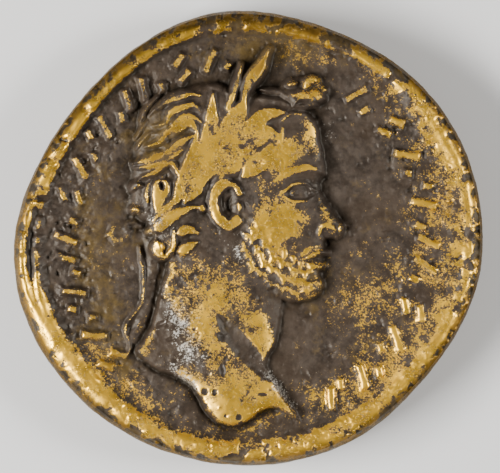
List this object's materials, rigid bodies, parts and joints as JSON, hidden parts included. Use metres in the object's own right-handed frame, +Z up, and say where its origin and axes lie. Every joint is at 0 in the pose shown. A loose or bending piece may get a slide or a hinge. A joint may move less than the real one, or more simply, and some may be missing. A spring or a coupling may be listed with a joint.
{
  "type": "roman brass coin",
  "caption": "Round struck brass coin with a raised laureate head on one face and a standing figure on the other, worn and darkened.",
  "frame": {"origin": "on the surface the coin lies on, under the middle of its outline", "axes": "+Z up out of the face with the head, +Y towards the crown of the head, +X to the right as the head is read"},
  "size_m": [0.033, 0.032, 0.0047],
  "materials": {
    "patinated_brass": "worn yellow brass on the high relief and rim, dark grey-brown patina in the fields and recesses"
  },
  "bodies": {
    "root": {"coin": "patinated_brass"}
  },
  "joints": []
}
